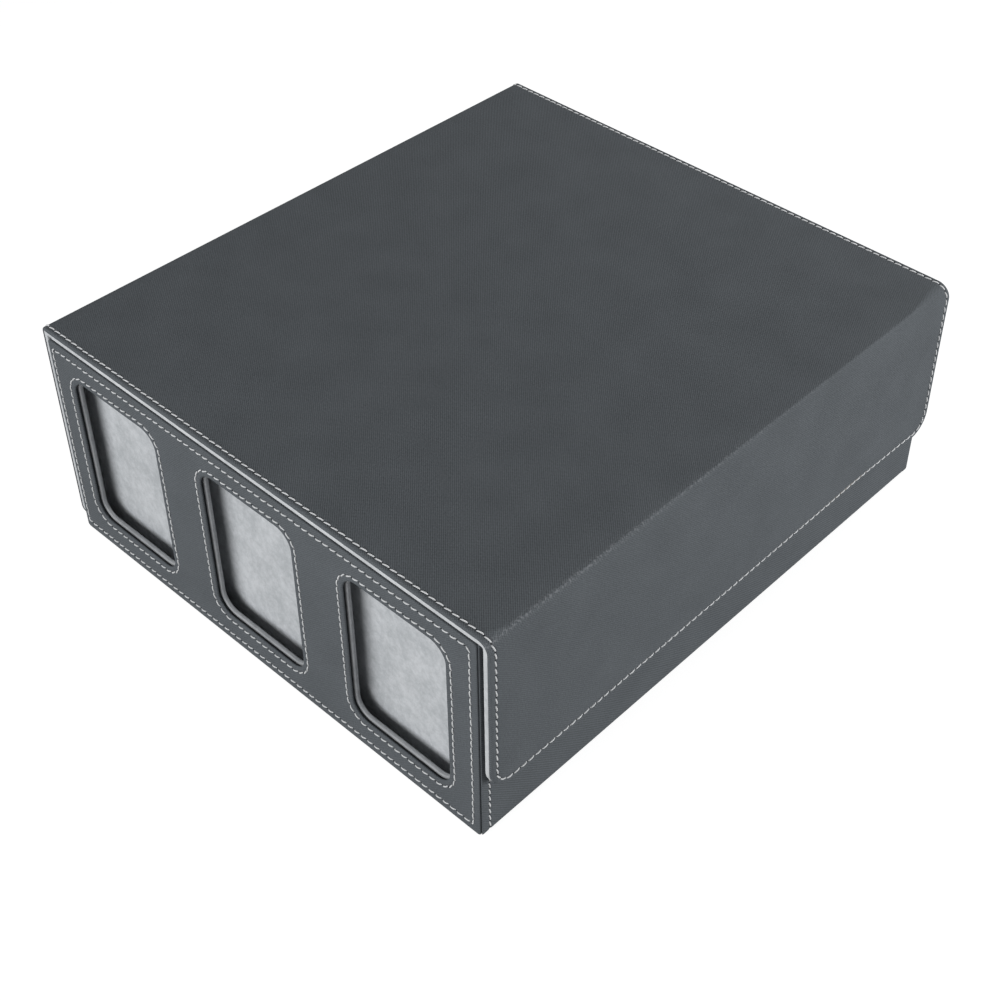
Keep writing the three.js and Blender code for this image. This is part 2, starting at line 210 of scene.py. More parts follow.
def plated_metal(name, colour, roughness):
    """Plated sheet metal with fine turning marks."""
    material, tree, shader = new_material(name)
    place = add_node(tree, "TexCoord").outputs["Object"]
    marks = noise_value(tree, place, 1400, 3)
    tint = between_colours(tree, marks, tuple(0.85 * c for c in colour), colour)
    tree.links.new(tint, shader.inputs["Base Color"])
    tree.links.new(calculate(tree, "MULTIPLY_ADD", marks, 0.15, roughness), shader.inputs["Roughness"])
    shader.inputs["Metallic"].default_value = 1
    return material


zinc = plated_metal("zinc plated steel", ZINC, 0.32)
for number in (1, 2, 3):
    finish_node(f"wall_plate_{number}", zinc, 0.1)

# Partitions between the rows, the walls behind the display slots and the loose dividers: board
# wrapped in suede on both sides, so that all their edges are soft.
for number in (1, 2, 3):
    finish_node(f"display_wall_{number}", suede, 0.7)
    finish_node(f"divider_{number}", suede, 0.8)
for number in (1, 2):
    finish_node(f"partition_{number}", suede, 0.8)


# Leather on the wall behind the flap: one sheet glued to the board and turned in over its top, sewn
# down by one row of thread near the corner of the window end, where it meets the sewn panel.
SHEET = 0.8
LEATHER_GREY = (0.0485, 0.0543, 0.0592)
LEATHER_WORN = (0.122, 0.134, 0.146)
# Colour of the painted highlight along the cover's crease.
CREASE_HIGHLIGHT_GREY = (0.24, 0.25, 0.265)
WEAVE_PITCH = 0.78
# Near-black painted shade in the needle holes.
NEEDLE_HOLE_SHADE = (0.008, 0.008, 0.009)
THREAD_GREY = (0.60, 0.61, 0.62)
THREAD_RADIUS = 0.31
STITCH_PITCH = 3.88
STITCH_GAP = 0.22
STITCH_SLANT = 0.3
STITCH_RINGS = 9
STITCH_SIDES = 7
GROOVE_DEPTH = 0.28
GROOVE_SHAPE = ((-0.85, 0.0), (-0.5, 0.45), (0.0, 1.0), (0.5, 0.45), (0.85, 0.0))
AWAY_FROM_THREAD = 50.0
NO_THREAD = (0.5, AWAY_FROM_THREAD)


def leather_cloth(name, crease=None):
    """Coated canvas in dark grey. Its fine weave runs over the sheet as it lay flat. Round each needle
    hole it dips, with painted shade in its colour. Along a crease, so many mm up the sheet, its ridges
    carry a painted highlight, stronger towards the near end."""
    material, tree, shader = new_material(name)
    place = add_node(tree, "UVMap", uv_map="cloth").outputs[0]
    parts = add_node(tree, "SeparateXYZ", {0: place})
    u, v = parts.outputs[0], parts.outputs[1]
    wander = calculate(tree, "MULTIPLY", noise_value(tree, place, 0.35), 1.1)
    turn = 2 * pi / WEAVE_PITCH / sqrt(2)
    one_way = calculate(tree, "MULTIPLY_ADD", calculate(tree, "ADD", u, v), turn, wander)
    other_way = calculate(tree, "MULTIPLY_ADD", calculate(tree, "SUBTRACT", u, v), turn, wander)
    ridges = calculate(tree, "MULTIPLY", calculate(tree, "SINE", one_way), 0.26)
    weave = calculate(tree, "MULTIPLY_ADD", calculate(tree, "SINE", other_way), 0.12, ridges)
    grain = calculate(tree, "SUBTRACT", noise_value(tree, place, 1.2, 3), 0.5)
    patches = calculate(tree, "SUBTRACT", noise_value(tree, place, 0.045, 3), 0.5)
    height = calculate(tree, "MULTIPLY_ADD", grain, 0.85, weave)
    worn = calculate(tree, "MULTIPLY_ADD", height, 1.0, 0.45)
    worn = calculate(tree, "MULTIPLY_ADD", patches, 0.35, worn)
    colour = between_colours(tree, worn, LEATHER_GREY, LEATHER_WORN)
    # Painted highlight along the crease, in specks, stronger towards the near end of the fold.
    if crease:
        off_line = calculate(tree, "ABSOLUTE", calculate(tree, "SUBTRACT", u, crease))
        crease_highlight = add_node(tree, "MapRange", {0: off_line, 1: 0.2, 2: 2.0, 3: 1.0, 4: 0.0}).outputs[0]
        specks = add_node(tree, "MapRange", {0: noise_value(tree, place, 0.9, 3), 1: 0.48, 2: 0.62})
        crease_highlight = calculate(tree, "MULTIPLY", crease_highlight, specks.outputs[0])
        highlight_toward_near_end = add_node(tree, "MapRange", {0: v, 1: -90.0, 2: 60.0, 3: 0.45, 4: 0.08}).outputs[0]
        crease_highlight = calculate(tree, "MULTIPLY", crease_highlight, highlight_toward_near_end)
        colour = between_colours(tree, crease_highlight, colour, CREASE_HIGHLIGHT_GREY)
    sewn = add_node(tree, "SeparateXYZ", {0: add_node(tree, "UVMap", uv_map="thread").outputs[0]})
    stitch = calculate(tree, "SUBTRACT", sewn.outputs[0], calculate(tree, "ROUND", sewn.outputs[0]))
    from_hole = calculate(tree, "MULTIPLY", stitch, STITCH_PITCH)
    off_centre = add_node(tree, "CombineXYZ", {0: from_hole, 1: sewn.outputs[1]}).outputs[0]
    distance = add_node(tree, "VectorMath", {0: off_centre}, operation="LENGTH").outputs["Value"]
    # Round each needle hole: a dip in the surface, and painted shade in its colour.
    hole_dip_and_shade = add_node(tree, "MapRange", {0: distance, 1: 0.28, 2: 0.55, 3: 1.0, 4: 0.0}).outputs[0]
    colour = between_colours(tree, calculate(tree, "MULTIPLY", hole_dip_and_shade, 0.85), colour, NEEDLE_HOLE_SHADE)
    height = calculate(tree, "MULTIPLY_ADD", hole_dip_and_shade, -1.5, height)
    tree.links.new(colour, shader.inputs["Base Color"])
    tree.links.new(calculate(tree, "MULTIPLY_ADD", grain, 0.1, 0.85), shader.inputs["Roughness"])
    shader.inputs["Specular IOR Level"].default_value = 0.12
    emboss(tree, shader, height, 0.6, 0.00012)
    return material


def mix(a, b, share):
    return a + (b - a) * share


def node_box(name):
    """Lowest and highest corner of one of the frame's pieces, in mm."""
    low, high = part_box(name)
    return low / MM, high / MM


def new_mesh():
    """A mesh builder that keeps two flat layouts: the cloth's weave, in mm, and the row of thread,
    in stitches along it and mm away from it."""
    builder = bmesh.new()
    builder.loops.layers.uv.new("cloth")
    builder.loops.layers.uv.new("thread")
    return builder


def add_patch(builder, points, cloth, sewn):
    """Faces over a grid of points, with the same grids of places in the two flat layouts."""
    layers = builder.loops.layers.uv["cloth"], builder.loops.layers.uv["thread"]
    grid = [[builder.verts.new(p) for p in line] for line in points]
    for i in range(len(grid) - 1):
        for j in range(len(grid[i]) - 1):
            corners = ((i, j), (i, j + 1), (i + 1, j + 1), (i + 1, j))
            face = builder.faces.new([grid[a][b] for a, b in corners])
            for loop, (a, b) in zip(face.loops, corners):
                loop[layers[0]].uv = cloth[a][b]
                loop[layers[1]].uv = sewn[a][b]


def close_ends(builder):
    """Joins the patches of a sheet, and fills the openings at its ends with flat faces."""
    bmesh.ops.remove_doubles(builder, verts=builder.verts, dist=0.004)
    open_edges = [e for e in builder.edges if e.is_boundary]
    for edge in open_edges:
        edge.smooth = False
    ends = bmesh.ops.edgenet_fill(builder, edges=open_edges)["faces"]
    for face in ends:
        for loop in face.loops:
            loop[builder.loops.layers.uv["thread"]].uv = NO_THREAD


def finish_mesh(builder, name, material):
    """Makes a smooth piece in metres of a mesh that was built in mm."""
    bmesh.ops.remove_doubles(builder, verts=builder.verts, dist=0.004)
    bmesh.ops.recalc_face_normals(builder, faces=builder.faces)
    mesh = bpy.data.meshes.new(name)
    builder.to_mesh(mesh)
    builder.free()
    mesh.transform(Matrix.Scale(MM, 4))
    mesh.materials.append(material)
    mesh.shade_smooth()
    piece = add_object(name, mesh)
    return piece


def edge_profile(depth, inset, reach, radius=0.85):
    """Section of a leather edge from the sheet's face to its back, as (distance in from the edge,
    height): a groove for the thread, a rounded edge, a turn-in of that depth, and the back."""
    steps = [(reach, 0.0), (inset + 2.6, 0.0), (inset + 1.15, 0.0)]
    steps += [(inset - d, -GROOVE_DEPTH * share) for d, share in GROOVE_SHAPE]
    steps += [(radius + 0.45, 0.05), (radius + 0.1, 0.02)]
    for i in range(1, 6):
        angle = i * pi / 10
        steps.append((radius * (1 - sin(angle)), -radius * (1 - cos(angle))))
    steps += [(0.0, -max(depth - 0.2, radius)), (0.06, -depth + 0.05), (0.22, -depth), (SHEET, -depth)]
    steps += [(SHEET, -SHEET), (reach, -SHEET)]
    return steps


def stitch_count(length):
    return max(1, round(length / STITCH_PITCH))


def path_lengths(path):
    """How far along a path of (place, outward direction) each of its points is."""
    lengths = [0.0]
    for (a, _), (b, _) in zip(path, path[1:]):
        lengths.append(lengths[-1] + (b - a).length)
    return lengths


def path_place(path, lengths, length):
    """The place on a path, the direction out of the leather and the direction along, at a length."""
    low, high = 0, len(lengths) - 1
    while high - low > 1:
        middle = (low + high) // 2
        low, high = (middle, high) if lengths[middle] <= length else (low, middle)
    share = (length - lengths[low]) / max(lengths[high] - lengths[low], 1e-9)
    place = path[low][0].lerp(path[high][0], share)
    outward = path[low][1].lerp(path[high][1], share).normalized()
    return place, outward, (path[high][0] - path[low][0]).normalized()


def sew(name, paths, material):
    """Rows of lock stitches along paths. Each stitch comes up through a needle hole, lies slightly
    aslant in the groove, and goes down through the next hole."""
    verts, faces, layout = [], [], []
    for path in paths:
        lengths = path_lengths(path)
        count = stitch_count(lengths[-1])
        pitch = lengths[-1] / count
        for number in range(count):
            first = len(verts)
            unlike = 0.04 * sin(number * 2.4) + 0.03 * sin(number * 0.7 + 1)
            for ring in range(STITCH_RINGS):
                t = ring / (STITCH_RINGS - 1)
                length = (number + 0.5) * pitch + (t - 0.5) * (pitch - 2 * STITCH_GAP + unlike)
                place, outward, along = path_place(path, lengths, length)
                side = outward.cross(along)
                arch = 1 - abs(2 * t - 1) ** 3
                centre = place + outward * (-0.42 + (0.44 + unlike) * arch)
                centre += side * (STITCH_SLANT * (2 * t - 1) + unlike)
                radius = THREAD_RADIUS * (0.62 + 0.38 * arch)
                for k in range(STITCH_SIDES):
                    angle = 2 * pi * k / STITCH_SIDES
                    rim = side * (cos(angle) * 1.1) + outward * sin(angle)
                    verts.append(centre + rim * radius)
                    layout.append((length, angle))
            for ring in range(STITCH_RINGS - 1):
                for k in range(STITCH_SIDES):
                    a = first + ring * STITCH_SIDES + k
                    b = first + ring * STITCH_SIDES + (k + 1) % STITCH_SIDES
                    faces.append((a, b, b + STITCH_SIDES, a + STITCH_SIDES))
            last = first + (STITCH_RINGS - 1) * STITCH_SIDES
            faces.append(tuple(reversed(range(first, first + STITCH_SIDES))))
            faces.append(tuple(range(last, last + STITCH_SIDES)))
    mesh = bpy.data.meshes.new(name)
    mesh.from_pydata([p * MM for p in verts], [], faces)
    uv = mesh.uv_layers.new(name="thread")
    index = [0] * len(mesh.loops)
    mesh.loops.foreach_get("vertex_index", index)
    uv.data.foreach_set("uv", [c for i in index for c in layout[i]])
    mesh.materials.append(material)
    mesh.shade_smooth()
    piece = add_object(name, mesh)
    return piece


def sewing_thread(name):
    """Twisted polyester thread in light grey."""
    material, tree, shader = new_material(name)
    parts = add_node(tree, "SeparateXYZ", {0: add_node(tree, "UVMap", uv_map="thread").outputs[0]})
    turns = calculate(tree, "MULTIPLY_ADD", parts.outputs[0], 2 * pi / 0.9, parts.outputs[1])
    twist = calculate(tree, "MULTIPLY_ADD", calculate(tree, "SINE", turns), 0.5, 0.5)
    dark = tuple(0.8 * c for c in THREAD_GREY)
    tree.links.new(between_colours(tree, twist, dark, THREAD_GREY), shader.inputs["Base Color"])
    shader.inputs["Roughness"].default_value = 0.55
    shader.inputs["Specular IOR Level"].default_value = 0.3
    emboss(tree, shader, twist, 0.7, 0.0001)
    return material


leather = leather_cloth("leather cloth")
thread = sewing_thread("sewing thread")

side_low, side_high = node_box("flap_side_cover")
panel_low, panel_high = node_box("window_panel")
TURN_RADIUS = 0.8
SIDE_STITCH_INSET = 4.1
SIDE_REACH = 8.0
SIDE_STITCH_FROM = 2.6
BOTTOM_RADIUS = 2.4
NEAR_CORNER_RADIUS = 2.0
SIDE_STITCH_TO = 106.5
side_path = [(Vector((side_high.x, side_low.y + SIDE_STITCH_INSET, z)), Vector((1, 0, 0)))
             for z in (SIDE_STITCH_FROM, SIDE_STITCH_TO)]
side_pitch = path_lengths(side_path)[-1] / stitch_count(path_lengths(side_path)[-1])
side_rows = [("under", i / 6) for i in range(6)]
side_levels = (BOTTOM_RADIUS, 5, 20, 40, 60, 80, 95, 103, side_high.z - TURN_RADIUS)
side_rows += [("face", z) for z in side_levels]
side_rows += [("turn", i / 4) for i in range(1, 4)]
side_rows += [("top", x) for x in (side_high.x - TURN_RADIUS, side_high.x - 2, side_low.x)]


def side_point(row, y, h):
    """A point of the sheet behind the flap: its outer face, the round at the bottom, the turn at the
    top, or the top."""
    kind, value = row
    if kind == "under":
        angle, reach = value * pi / 2, BOTTOM_RADIUS + h
        return Vector((side_high.x - BOTTOM_RADIUS + reach * sin(angle), y,
                       BOTTOM_RADIUS - reach * cos(angle)))
    if kind == "face":
        return Vector((side_high.x + h, y, value))
    if kind == "top":
        return Vector((value, y, side_high.z + h))
    angle, reach = value * pi / 2, TURN_RADIUS + h
    return Vector((side_high.x - TURN_RADIUS + reach * cos(angle), y,
                   side_high.z - TURN_RADIUS + reach * sin(angle)))


def side_developed(row):
    """How far up the sheet a row is, as it lay flat."""
    kind, value = row
    face = side_high.z - TURN_RADIUS
    turn = TURN_RADIUS * pi / 2
    if kind == "under":
        return BOTTOM_RADIUS - BOTTOM_RADIUS * pi / 2 * (1 - value)
    return {"face": value, "turn": face + value * turn, "top": face + turn + side_high.x - value}[kind]


def side_start(row):
    """Where the sheet starts: its turned-in part is cut back to clear the sewn panel, and its bottom
    corner is cut round."""
    if row[0] == "top":
        return panel_high.y
    rise = min(side_point(row, 0, 0).z, NEAR_CORNER_RADIUS)
    cut = sqrt(max(0.0, NEAR_CORNER_RADIUS ** 2 - (NEAR_CORNER_RADIUS - rise) ** 2))
    return side_low.y + NEAR_CORNER_RADIUS - cut


def side_patch(builder, columns):
    """A patch over all rows; columns are (distance in from the near edge or place along, height)."""
    points, cloth, sewn = [], [], []
    for row in side_rows:
        start, up = side_start(row), side_developed(row)
        line = [(start + d if d < SIDE_REACH + 0.1 else d + side_low.y, h) for d, h in columns]
        points.append([side_point(row, y, h) for y, h in line])
        cloth.append([(y + h, up) for y, h in line])
        sewn.append([((up - SIDE_STITCH_FROM) / side_pitch, y - start - SIDE_STITCH_INSET)
                     for y, h in line])
    add_patch(builder, points, cloth, sewn)


builder = new_mesh()
side_length = side_high.y - side_low.y
stations = [SIDE_REACH] + [SIDE_REACH + i * (side_length - SIDE_REACH) / 14 for i in range(1, 15)]
side_patch(builder, edge_profile(0.5, SIDE_STITCH_INSET, SIDE_REACH, radius=0.35))
side_patch(builder, [(d, 0.0) for d in stations])
side_patch(builder, [(d, -SHEET) for d in stations])
close_ends(builder)
flap_side_leather = finish_mesh(builder, "flap_side_leather", leather)
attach(flap_side_leather, "root")
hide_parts("flap_side_cover")
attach(sew("flap_side_stitching", [side_path], thread), "root")

# Leather on the far end: one sheet glued to the end wall and round both vertical corners, drawn round
# the bottom edge like the sheet behind the flap, and turned in over the top.
end_low, end_high = node_box("end_wall_cover")
END_CORNER = 2.2
END_BOTTOM = 2.0
END_RIM = 3.8


def quarter(x, y, start, radius, steps=6):
    """Places and outward directions round a quarter circle in plan, from a start angle in degrees."""
    turned = [radians(start + 90 * i / steps) for i in range(steps + 1)]
    outward = [Vector((cos(a), sin(a))) for a in turned]
    return [(Vector((x, y)) + radius * n, n) for n in outward]


corner_y = end_high.y - END_CORNER
across = [mix(end_high.x - END_CORNER, end_low.x + END_CORNER, i / 14) for i in range(1, 14)]
end_path = [(Vector((end_high.x, end_low.y)), Vector((1, 0)))]
end_path += quarter(end_high.x - END_CORNER, corner_y, 0, END_CORNER)
end_path += [(Vector((x, end_high.y)), Vector((0, 1))) for x in across]
end_path += quarter(end_low.x + END_CORNER, corner_y, 90, END_CORNER)
end_path += [(Vector((end_low.x, end_low.y)), Vector((-1, 0)))]
bend = [i * pi / 12 for i in range(7)]
end_section = [(END_BOTTOM * (1 - sin(a)), END_BOTTOM * (1 - cos(a))) for a in bend]
end_section += [(0.0, z) for z in (20, 45, 70, 90)]
END_TOP = end_high.z
end_section += [(TURN_RADIUS * (1 - cos(a)), END_TOP - TURN_RADIUS * (1 - sin(a)))
                for a in bend]
end_section += [(END_RIM - 0.2, END_TOP), (END_RIM - 0.05, END_TOP - 0.05), (END_RIM, END_TOP - 0.2),
                (END_RIM, END_TOP - SHEET + 0.1), (END_RIM - 0.1, END_TOP - SHEET),
                (SHEET + 0.2, END_TOP - SHEET), (SHEET, END_TOP - SHEET - 0.2), (SHEET, END_BOTTOM)]
inner_round = END_BOTTOM - SHEET
end_section += [(END_BOTTOM - inner_round * sin(a), END_BOTTOM - inner_round * cos(a))
                for a in reversed(bend[:-1])]
end_section += [end_section[0]]
points, cloth = [], []
run = 0.0
for i, (place, outward) in enumerate(end_path):
    run += (place - end_path[i - 1][0]).length if i else 0.0
    line = []
    for d, z in end_section:
        inner = place - outward * d
        x = max(min(inner.x, end_high.x - d), end_low.x + d)
        line.append(Vector((x, min(inner.y, end_high.y - d), z)))
    points.append(line)
    cloth.append([(run, z + d) for d, z in end_section])
builder = new_mesh()
add_patch(builder, points, cloth, [[NO_THREAD] * len(end_section)] * len(end_path))
close_ends(builder)
end_leather = finish_mesh(builder, "end_leather", leather)
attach(end_leather, "root")
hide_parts("end_wall_cover")

# Leather under the box: a flat sheet between the rounded edges of the sheets on the sides and the far
# end. At the back it is turned up behind the cover.
sheet_low, sheet_high = node_box("base_sheet")
wall_back = node_box("back_wall")[0].x
cover_end = node_box("back_cover")[1].y
UNDER_SIDE = side_high.x - BOTTOM_RADIUS
UNDER_END = end_high.y - END_BOTTOM


def add_strip(builder, section, first_y, last_y):
    """A strip with a section in x and z, closed at both ends."""
    ends = [[builder.verts.new((x, y, z)) for x, z in section] for y in (first_y, last_y)]
    for i in range(len(section)):
        j = (i + 1) % len(section)
        builder.faces.new((ends[0][i], ends[0][j], ends[1][j], ends[1][i]))
    builder.faces.new(ends[0])
    builder.faces.new(reversed(ends[1]))


turned_up = [(UNDER_SIDE, 0.0), (UNDER_SIDE, SHEET), (wall_back, SHEET), (wall_back, sheet_high.z),
             (sheet_low.x, sheet_high.z)]
turned_up += [(sheet_low.x + SHEET * (1 - cos(a)), SHEET * (1 - sin(a))) for a in bend]
UNDER_BACK = end_low.x + END_BOTTOM
flat = [(UNDER_SIDE, 0.0), (UNDER_SIDE, SHEET), (UNDER_BACK, SHEET), (UNDER_BACK, 0.0)]
builder = new_mesh()
add_strip(builder, turned_up, sheet_low.y, cover_end)
add_strip(builder, flat, cover_end, UNDER_END)
for face in builder.faces:
    for loop in face.loops:
        x, y, z = loop.vert.co
        loop[builder.loops.layers.uv["cloth"]].uv = (x - z, y)
        loop[builder.loops.layers.uv["thread"]].uv = NO_THREAD
for edge in builder.edges:
    edge.smooth = edge.calc_face_angle(0) < 0.7
base_leather = finish_mesh(builder, "base_leather", leather)
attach(base_leather, "root")
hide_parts("base_sheet")


# Window end: a sewn leather panel with three rounded openings. Its leather is stitched to a backing
# all round and round each opening, and the backing is cut back so that the opening's edge is thin.
WINDOW_RADIUS = 8
WINDOW_CENTRES = (-86.9, -3.5, 79.9)
WINDOW_HALF = 27.1
WINDOW_BOTTOM = 15.4
WINDOW_TOP = 92.8
WINDOW_STITCH = 2.85
PANEL_STITCH = (-125.3, 4.1, 119.4, 102.8)
PANEL_SEAM = 0.25
BOTTOM_ROUNDING = 2.4
PANEL_CORNER = 1.6
CORNER_STEPS = 10
PANEL_FACE = panel_low.y
PANEL_DEPTH = panel_high.y - panel_low.y


def rounded_loop(low_x, low_z, high_x, high_z, radius, y):
    """Points round a rounded rectangle in the upright plane at y, the same number for every size."""
    points = []
    centres = ((high_x - radius, low_z + radius, -90), (high_x - radius, high_z - radius, 0),
               (low_x + radius, high_z - radius, 90), (low_x + radius, low_z + radius, 180))
    for x, z, start in centres:
        for i in range(CORNER_STEPS + 1):
            angle = radians(start + 90 * i / CORNER_STEPS)
            points.append(Vector((x + radius * cos(angle), y, z + radius * sin(angle))))
    return points


def window_loop(centre, outside, depth):
    """A loop round one window, so far outside its opening and so deep."""
    return rounded_loop(centre - WINDOW_HALF - outside, WINDOW_BOTTOM - outside,
                        centre + WINDOW_HALF + outside, WINDOW_TOP + outside,
                        WINDOW_RADIUS + outside, depth)


def inset_loop(edges, inset, radius, depth):
    """A loop drawn in from the edges of a rectangle."""
    low_x, low_z, high_x, high_z = edges
    return rounded_loop(low_x + inset, low_z + inset, high_x - inset, high_z - inset, radius, depth)


def panel_loop(inset, depth):
    """A loop round the panel's own outline, whose bottom edge is rounded further up the face."""
    low_x, low_z, high_x, high_z = panel_edges
    return rounded_loop(low_x + inset, low_z + BOTTOM_ROUNDING * inset, high_x - inset, high_z - inset,
                        PANEL_CORNER, PANEL_FACE + depth)


def closed_path(loop):
    """A closed row of thread on the window end, as a path for sew."""
    return [(p, Vector((0, -1, 0))) for p in [*loop, loop[0]]]


def plate_with_openings(builder, bands):
    """A plate from bands of loops: the first goes from the outline's back to its face, the others from
    each opening's edge on the face to the back. A band holds (loop, distance from its row of thread)
    and the row itself, or None. Flat faces join the bands."""
    cloth, sewn = builder.loops.layers.uv["cloth"], builder.loops.layers.uv["thread"]
    ends = []
    for loops, row in bands:
        rings = [[builder.verts.new(p) for p in loop] for loop, _ in loops]
        lengths = path_lengths(closed_path(row)) if row else [0.5] * (len(rings[0]) + 1)
        stitches = stitch_count(lengths[-1]) / lengths[-1] if row else 1
        for (a, (_, from_a)), (b, (_, from_b)) in zip(zip(rings, loops), zip(rings[1:], loops[1:])):
            for i in range(len(a)):
                j = (i + 1) % len(a)
                face = builder.faces.new((a[i], a[j], b[j], b[i]))
                places = ((i, from_a), (i + 1, from_a), (i + 1, from_b), (i, from_b))
                for loop, (k, away) in zip(face.loops, places):
                    loop[sewn].uv = (lengths[k] * stitches, away)
        ends.append((rings[0], rings[-1]))
    banded = set(builder.faces)
    (back, face), *openings = ends
    for flat in ([face] + [first for first, _ in openings], [back] + [last for _, last in openings]):
        edges = [builder.edges.get((ring[i], ring[(i + 1) % len(ring)]))
                 for ring in flat for i in range(len(ring))]
        bmesh.ops.triangle_fill(builder, edges=edges, use_beauty=True, use_dissolve=False)
    for plate_face in builder.faces:
        for loop in plate_face.loops:
            x, y, z = loop.vert.co
            loop[cloth].uv = (x, z + y)
            if plate_face not in banded:
                loop[sewn].uv = NO_THREAD


panel_edges = (panel_low.x, panel_low.z, panel_high.x - PANEL_SEAM, panel_high.z)
panel_row = inset_loop(PANEL_STITCH, 0, PANEL_CORNER, PANEL_FACE)
outline = [(panel_loop(0, PANEL_DEPTH), AWAY_FROM_THREAD)]
for inset, depth in ((0.0, 0.45), (0.04, 0.25), (0.14, 0.1), (0.28, 0.03), (0.42, 0.0)):
    outline.append((panel_loop(inset, depth), AWAY_FROM_THREAD))
for d, share in ((-1.05, 0.0), *GROOVE_SHAPE, (1.15, 0.0)):
    depth = PANEL_FACE + GROOVE_DEPTH * share
    outline.append((inset_loop(PANEL_STITCH, d, PANEL_CORNER, depth), d))
window_steps = [(1.15, 0.0)] + [(-d, GROOVE_DEPTH * share) for d, share in GROOVE_SHAPE]
window_steps += [(-1.2, -0.07), (-1.75, -0.1), (-2.2, -0.03), (-2.5, 0.1), (-2.75, 0.3), (-2.85, 0.55),
                 (-2.82, 0.8), (-2.7, 0.92), (-1.6, 0.95), (-1.6, PANEL_DEPTH)]
bands = [(outline, panel_row)]
for centre in WINDOW_CENTRES:
    bands.append(([(window_loop(centre, WINDOW_STITCH + d, PANEL_FACE + depth), d)
                   for d, depth in window_steps], window_loop(centre, WINDOW_STITCH, PANEL_FACE)))
builder = new_mesh()
plate_with_openings(builder, bands)
window_panel_leather = finish_mesh(builder, "window_panel_leather", leather)
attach(window_panel_leather, "root")
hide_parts("window_panel")
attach(sew("window_panel_stitching", [closed_path(row) for _, row in bands], thread), "root")

# The wall behind the panel: thin board wrapped in suede, which is given a darker copy of the lining
# suede as painted shade for the lip deep in each window. Its openings are a little smaller than the
# panel's, so that a soft round lip shows all round each window and holds the card in its slot.
WINDOW_LIP = 0.5
# Painted shade: the lining suede's colours darkened for the window wall.
SHADED_WALL_SUEDE = (0.245, 0.255, 0.265)
SHADED_WALL_SUEDE_BRUSHED = (0.34, 0.35, 0.36)
wall_low, wall_high = node_box("window_wall")
WALL_DEPTH = wall_high.y - wall_low.y
wall_edges = (wall_low.x, wall_low.z, wall_high.x, wall_high.z)
soft_edge = ((0.45, 0.0), (0.2, 0.06), (0.07, 0.22), (0.01, 0.5), (0.0, 0.85))
outline = [(inset_loop(wall_edges, 0, 0.5, wall_high.y), 0)]
for inset, depth in ((0.0, 0.4), (0.12, 0.1), (0.4, 0.0)):
    outline.append((inset_loop(wall_edges, inset, 0.55, wall_low.y + depth), 0))
wall_steps = list(soft_edge) + [(d, WALL_DEPTH - h) for d, h in reversed(soft_edge)]
bands = [(outline, None)]
for centre in WINDOW_CENTRES:
    bands.append(([(window_loop(centre, d - WINDOW_LIP, wall_low.y + depth), 0)
                   for d, depth in wall_steps], None))
builder = new_mesh()
plate_with_openings(builder, bands)
shaded_wall_suede = suede_cloth("suede round the window wall with painted shade", SHADED_WALL_SUEDE, SHADED_WALL_SUEDE_BRUSHED)
window_wall_shaded_suede = finish_mesh(builder, "window_wall_shaded_suede", shaded_wall_suede)
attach(window_wall_shaded_suede, "root")
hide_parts("window_wall")


# Cover: one piece of leather cloth over the lid and the flap, turned in over the edge of the board
# under it, with a soft fold between them that has no board, and sewn along all its free edges. At
# its ends the fold is held round by the seam; between them it is creased along the lid's edge.
lid_low, lid_high = node_box("lid_leather")
flap_low, flap_high = node_box("flap_leather")
TOP = lid_high.z
NEAR_EDGE, FAR_EDGE = lid_low.y, lid_high.y
FLAP_FACE = flap_high.x
FLAP_BOTTOM = flap_low.z
BOARD_FACE = TOP - lid_low.z
LID_LIP = 1.75
FLAP_LIP = 1.6
COVER_DEPTH = TOP - node_box("lid_lining")[0].z
LID_START = -124.0
COVER_CORNER = 11.3
LID_INSET = 2.2
STITCH_INSET = 2.7
FLAP_BOW = ((-146, 0.0), (-100, 0.0), (-72, -0.2), (-25, -0.38), (50, -0.57), (88, -0.76),
            (120, -0.3), (142, 0.4))
BOW_TOP = TOP - 10
NEAR_FOLD_RADIUS = 6.4
FAR_FOLD_RADIUS = 6.8
HELD_ROUND = 2.75
NEAR_EASING = 9
FAR_EASING = 30
LINING_CORNER = 0.9
CREASE_STEPS = [(0.22, a) for a in (8, 20, 36, 50, 60, 65)]
CREASE_STEPS += [(0.6, 66 + 24 * sin(pi / 2 * i / 14)) for i in range(1, 15)]
FOLD_STEPS = len(CREASE_STEPS)
LID_STATIONS = 16
FLAP_STATIONS = 8
CORNER_SWING = [i * pi / 2 / 12 for i in range(13)]

crease = [(0.0, 0.0, 0.0, 0.0)]
for step, angle in CREASE_STEPS:
    x, z, _, run = crease[-1]
    turned = radians(angle)
    crease.append((x + step * cos(turned), z - step * sin(turned), turned, run + step))
CREASE_WIDTH, CREASE_DROP = crease[-1][0], -crease[-1][1]


def fold_shape(y, h):
    """The fold's radius where it is held round, and how far it is creased, from 0 to 1. The lining
    and the turned-in edges stay round."""
    share = min(max((y - NEAR_EDGE) / (FAR_EDGE - NEAR_EDGE), 0), 1)
    from_near, from_far = y - NEAR_EDGE - HELD_ROUND, FAR_EDGE - y - HELD_ROUND
    t = min(max(min(from_near / NEAR_EASING, from_far / FAR_EASING), 0), 1)
    return mix(NEAR_FOLD_RADIUS, FAR_FOLD_RADIUS, share), (t * t * (3 - 2 * t) if h > -1 else 0.0)


def lid_end(y, h):
    radius, creased = fold_shape(y, h)
    return FLAP_FACE - mix(radius, CREASE_WIDTH, creased)


def flap_top(y, h):
    radius, creased = fold_shape(y, h)
    return TOP - mix(radius, CREASE_DROP, creased)


def lid_point(share, y, h):
    """On the lid: share goes from the back seam to the start of the fold."""
    return Vector((mix(LID_START, lid_end(y, h), share), y, TOP + h))


